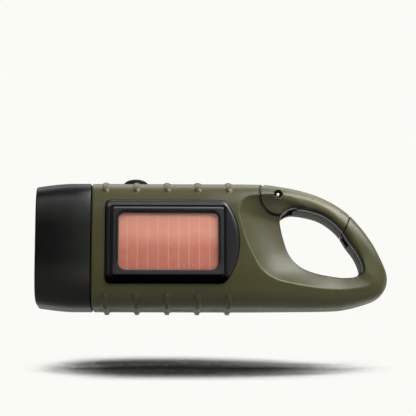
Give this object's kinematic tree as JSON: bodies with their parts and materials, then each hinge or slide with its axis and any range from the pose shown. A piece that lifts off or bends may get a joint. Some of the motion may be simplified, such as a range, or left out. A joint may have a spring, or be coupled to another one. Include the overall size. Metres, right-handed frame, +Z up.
{
  "type": "hand crank flashlight",
  "caption": "Hand crank flashlight with a solar panel on one side, a folding crank with a geared generator on the other, a push button and a sprung carabiner loop.",
  "frame": {"origin": "centre of the bounding box on the plane through the flat bottoms of the lower grip ribs", "axes": "+X from the lamp end to the hook end, +Y from the solar panel side to the crank side, +Z up from the lower grip ribs to the push button"},
  "size_m": [0.135, 0.0448, 0.052],
  "materials": {
    "body_shell": "olive green moulded plastic, fine matt texture",
    "black_parts": "black moulded plastic, satin",
    "loop_liner": "dark grey moulded plastic, satin",
    "solar_cell": "copper coloured cell with fine pale fingers",
    "clear_parts": "clear moulded plastic",
    "rubber_parts": "black rubber",
    "steel_parts": "plated steel",
    "brass_parts": "turned brass",
    "battery_cans": "plated can",
    "reflector": "metallised plastic",
    "gears": "natural white acetal",
    "boards": "green circuit board",
    "winding": "enamelled copper wire",
    "magnet": "sintered magnet"
  },
  "bodies": {
    "body": {"front_shell": "body_shell", "back_shell": "body_shell", "gate_pin": "steel_parts", "nose_liner": "loop_liner", "gate_spring": "steel_parts", "solar_bezel": "black_parts", "solar_window": "clear_parts", "solar_cell": "solar_cell", "tact_switch": "black_parts", "switch_board": "boards", "battery_1": "battery_cans", "battery_2": "battery_cans", "battery_3": "battery_cans", "battery_holder": "black_parts", "head_housing": "black_parts", "head_seal": "rubber_parts", "lens": "clear_parts", "lens_seal": "rubber_parts", "reflector": "reflector", "led_1": "clear_parts", "led_2": "clear_parts", "led_3": "clear_parts", "led_board": "boards", "axle_1": "steel_parts", "axle_2": "steel_parts", "gear_plate": "gears", "plate_screw_1": "steel_parts", "plate_screw_2": "steel_parts", "plate_screw_3": "steel_parts", "stator_can": "steel_parts", "stator_coil": "winding", "crank_bush": "brass_parts", "main_board": "boards", "board_screw_1": "steel_parts", "board_screw_2": "steel_parts", "capacitor": "black_parts", "charge_chip": "black_parts", "shell_screw_1": "steel_parts", "shell_screw_2": "steel_parts", "shell_screw_3": "steel_parts", "shell_screw_4": "steel_parts", "shell_screw_5": "steel_parts"},
    "gate_swing": {"gate": "body_shell", "gate_liner": "loop_liner"},
    "button": {"button_cap": "rubber_parts"},
    "crank": {"crank_shaft": "steel_parts", "crank_arm": "black_parts", "crank_screw": "steel_parts", "drive_gear": "gears", "knob_pin": "steel_parts"},
    "knob": {"knob_post": "steel_parts"},
    "grip": {"knob_grip": "black_parts"},
    "first_compound": {"compound_gear_1": "gears"},
    "second_compound": {"compound_gear_2": "gears"},
    "rotor": {"rotor_pinion": "brass_parts", "rotor_magnet": "magnet"}
  },
  "joints": [
    {"name": "gate_hinge", "type": "hinge", "parent": "body", "child": "gate_swing", "pos_m": [0.0249, -0.00282, 0.0438], "axis": [0, 1, 0], "range_deg": [0, 25], "stiffness_Nm_per_rad": 0.05, "springref_deg": -22.92},
    {"name": "button_press", "type": "slide", "parent": "body", "child": "button", "axis": [0, 0, -1], "range_m": [0, 0.0008], "stiffness_N_per_m": 600, "springref_m": -0.0005},
    {"name": "crank_turn", "type": "hinge", "parent": "body", "child": "crank", "pos_m": [-0.008, 0.0175, 0.0248], "axis": [0, 1, 0], "continuous": true},
    {"name": "knob_fold", "type": "hinge", "parent": "crank", "child": "knob", "pos_m": [-0.0388, 0.01783, 0.0248], "axis": [0, 0, 1], "range_deg": [0, 90]},
    {"name": "grip_spin", "type": "hinge", "parent": "knob", "child": "grip", "pos_m": [-0.03, 0.01912, 0.0248], "axis": [1, 0, 0], "continuous": true},
    {"name": "first_compound_turn", "type": "hinge", "parent": "body", "child": "first_compound", "pos_m": [-0.01957, 0.008, 0.03451], "axis": [0, 1, 0], "continuous": true},
    {"name": "second_compound_turn", "type": "hinge", "parent": "body", "child": "second_compound", "pos_m": [-0.01352, 0.005, 0.02403], "axis": [0, 1, 0], "continuous": true},
    {"name": "rotor_turn", "type": "hinge", "parent": "body", "child": "rotor", "pos_m": [-0.01726, 0.002, 0.01252], "axis": [0, 1, 0], "continuous": true}
  ],
  "couplings": [
    {"joint": "first_compound_turn", "follows": "crank_turn", "ratio": -4},
    {"joint": "second_compound_turn", "follows": "crank_turn", "ratio": 12},
    {"joint": "rotor_turn", "follows": "crank_turn", "ratio": -36}
  ]
}
